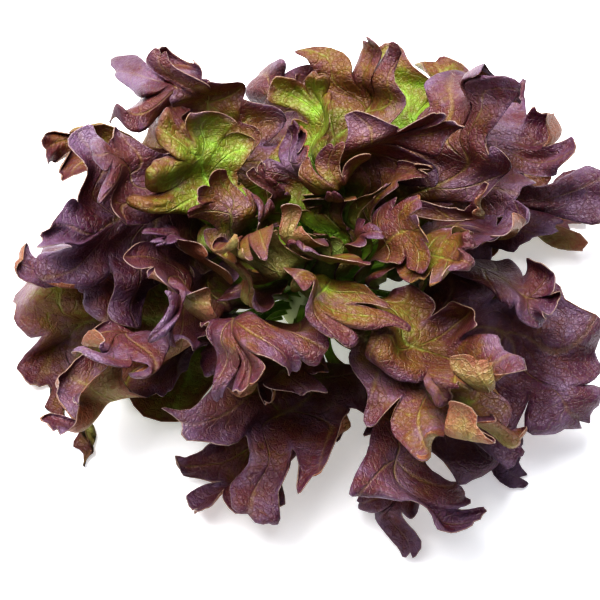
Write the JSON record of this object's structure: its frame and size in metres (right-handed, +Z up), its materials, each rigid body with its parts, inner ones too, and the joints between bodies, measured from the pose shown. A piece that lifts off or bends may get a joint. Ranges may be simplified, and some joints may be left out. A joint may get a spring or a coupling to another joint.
{
  "type": "oak leaf lettuce",
  "caption": "Loose head of red oak leaf lettuce, cut at the stem and standing on its cut face, with ruffled lobed leaves in whorls, purple and bronze outside and green at the heart.",
  "frame": {"origin": "middle of the stem's cut face, on the surface that the head stands on", "axes": "+Z up from the cut face through the heart, -Y towards the front, where the head leans, +X to its right"},
  "size_m": [0.297, 0.2768, 0.1409],
  "materials": {
    "purple_leaf": "wine-purple blistered leaf with a soft sheen, paler and browner beneath, green towards its foot",
    "bronze_leaf": "bronze-brown blistered leaf with red edges and an olive underside, green towards its foot",
    "heart_leaf": "bright yellow-green leaf with bronze to red edges, thin enough for light to shine through",
    "stem_flesh": "pale green-white flesh, matt, slightly browned on the cut face"
  },
  "bodies": {
    "root": {"stem": "stem_flesh", "leaf_01": "bronze_leaf", "leaf_02": "purple_leaf", "leaf_03": "bronze_leaf", "leaf_04": "purple_leaf", "leaf_05": "bronze_leaf", "leaf_06": "purple_leaf", "leaf_07": "bronze_leaf", "leaf_08": "purple_leaf", "leaf_09": "bronze_leaf", "leaf_10": "purple_leaf", "leaf_11": "bronze_leaf", "leaf_12": "purple_leaf", "leaf_13": "bronze_leaf", "leaf_14": "purple_leaf", "leaf_15": "bronze_leaf", "leaf_16": "purple_leaf", "leaf_17": "bronze_leaf", "leaf_18": "purple_leaf", "leaf_19": "bronze_leaf", "leaf_20": "purple_leaf", "leaf_21": "bronze_leaf", "leaf_22": "purple_leaf", "leaf_23": "bronze_leaf", "leaf_24": "purple_leaf", "leaf_25": "bronze_leaf", "leaf_26": "purple_leaf", "leaf_27": "bronze_leaf", "leaf_28": "purple_leaf", "leaf_29": "bronze_leaf", "leaf_30": "purple_leaf", "leaf_31": "bronze_leaf", "leaf_32": "purple_leaf", "leaf_33": "bronze_leaf", "leaf_34": "purple_leaf", "leaf_35": "bronze_leaf", "leaf_36": "purple_leaf", "leaf_37": "bronze_leaf", "leaf_38": "purple_leaf", "leaf_39": "bronze_leaf", "leaf_40": "purple_leaf", "leaf_41": "bronze_leaf", "leaf_42": "purple_leaf", "leaf_43": "bronze_leaf", "leaf_44": "purple_leaf", "leaf_45": "bronze_leaf", "leaf_46": "purple_leaf", "leaf_47": "bronze_leaf", "leaf_48": "purple_leaf", "leaf_49": "bronze_leaf", "leaf_50": "heart_leaf", "leaf_51": "heart_leaf", "leaf_52": "heart_leaf", "leaf_53": "heart_leaf", "leaf_54": "heart_leaf", "leaf_55": "heart_leaf", "leaf_56": "heart_leaf", "leaf_57": "heart_leaf", "leaf_58": "heart_leaf", "leaf_59": "heart_leaf"}
  },
  "joints": []
}
